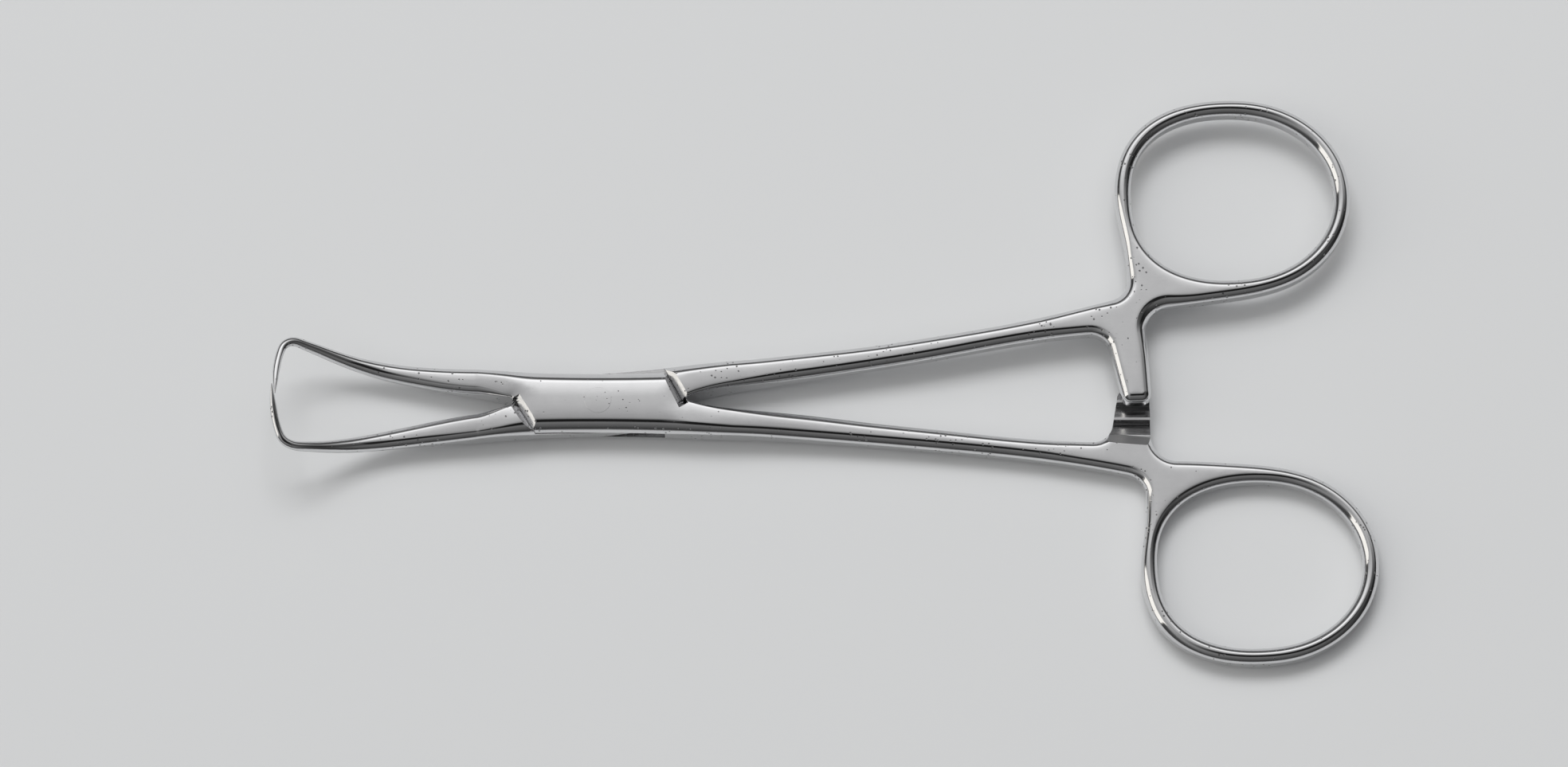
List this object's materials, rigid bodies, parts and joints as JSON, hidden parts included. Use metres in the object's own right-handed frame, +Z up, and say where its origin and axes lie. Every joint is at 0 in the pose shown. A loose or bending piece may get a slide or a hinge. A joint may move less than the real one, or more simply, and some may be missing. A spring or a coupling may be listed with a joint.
{
  "type": "towel clamp",
  "caption": "Surgical towel clamp: two box-locked steel halves with needle-pointed jaws that cross, finger rings and a toothed ratchet between the shanks.",
  "frame": {"origin": "on the plane the clamp rests on, straight under the pivot", "axes": "+X along the clamp towards the finger rings, +Y towards the ring of the male half, +Z up, the side the needle points rise to"},
  "size_m": [0.1319, 0.0705, 0.0097],
  "materials": {
    "polished_steel": "satin polished",
    "pin_steel": "ground flush and satin polished"
  },
  "bodies": {
    "female": {"female_half": "polished_steel", "pivot_pin": "pin_steel"},
    "male": {"male_half": "polished_steel"}
  },
  "joints": [
    {"name": "box_lock_hinge", "type": "hinge", "parent": "female", "child": "male", "pos_m": [0, 0, 0.0023], "axis": [0, 0, 1], "range_deg": [0, 38]}
  ]
}
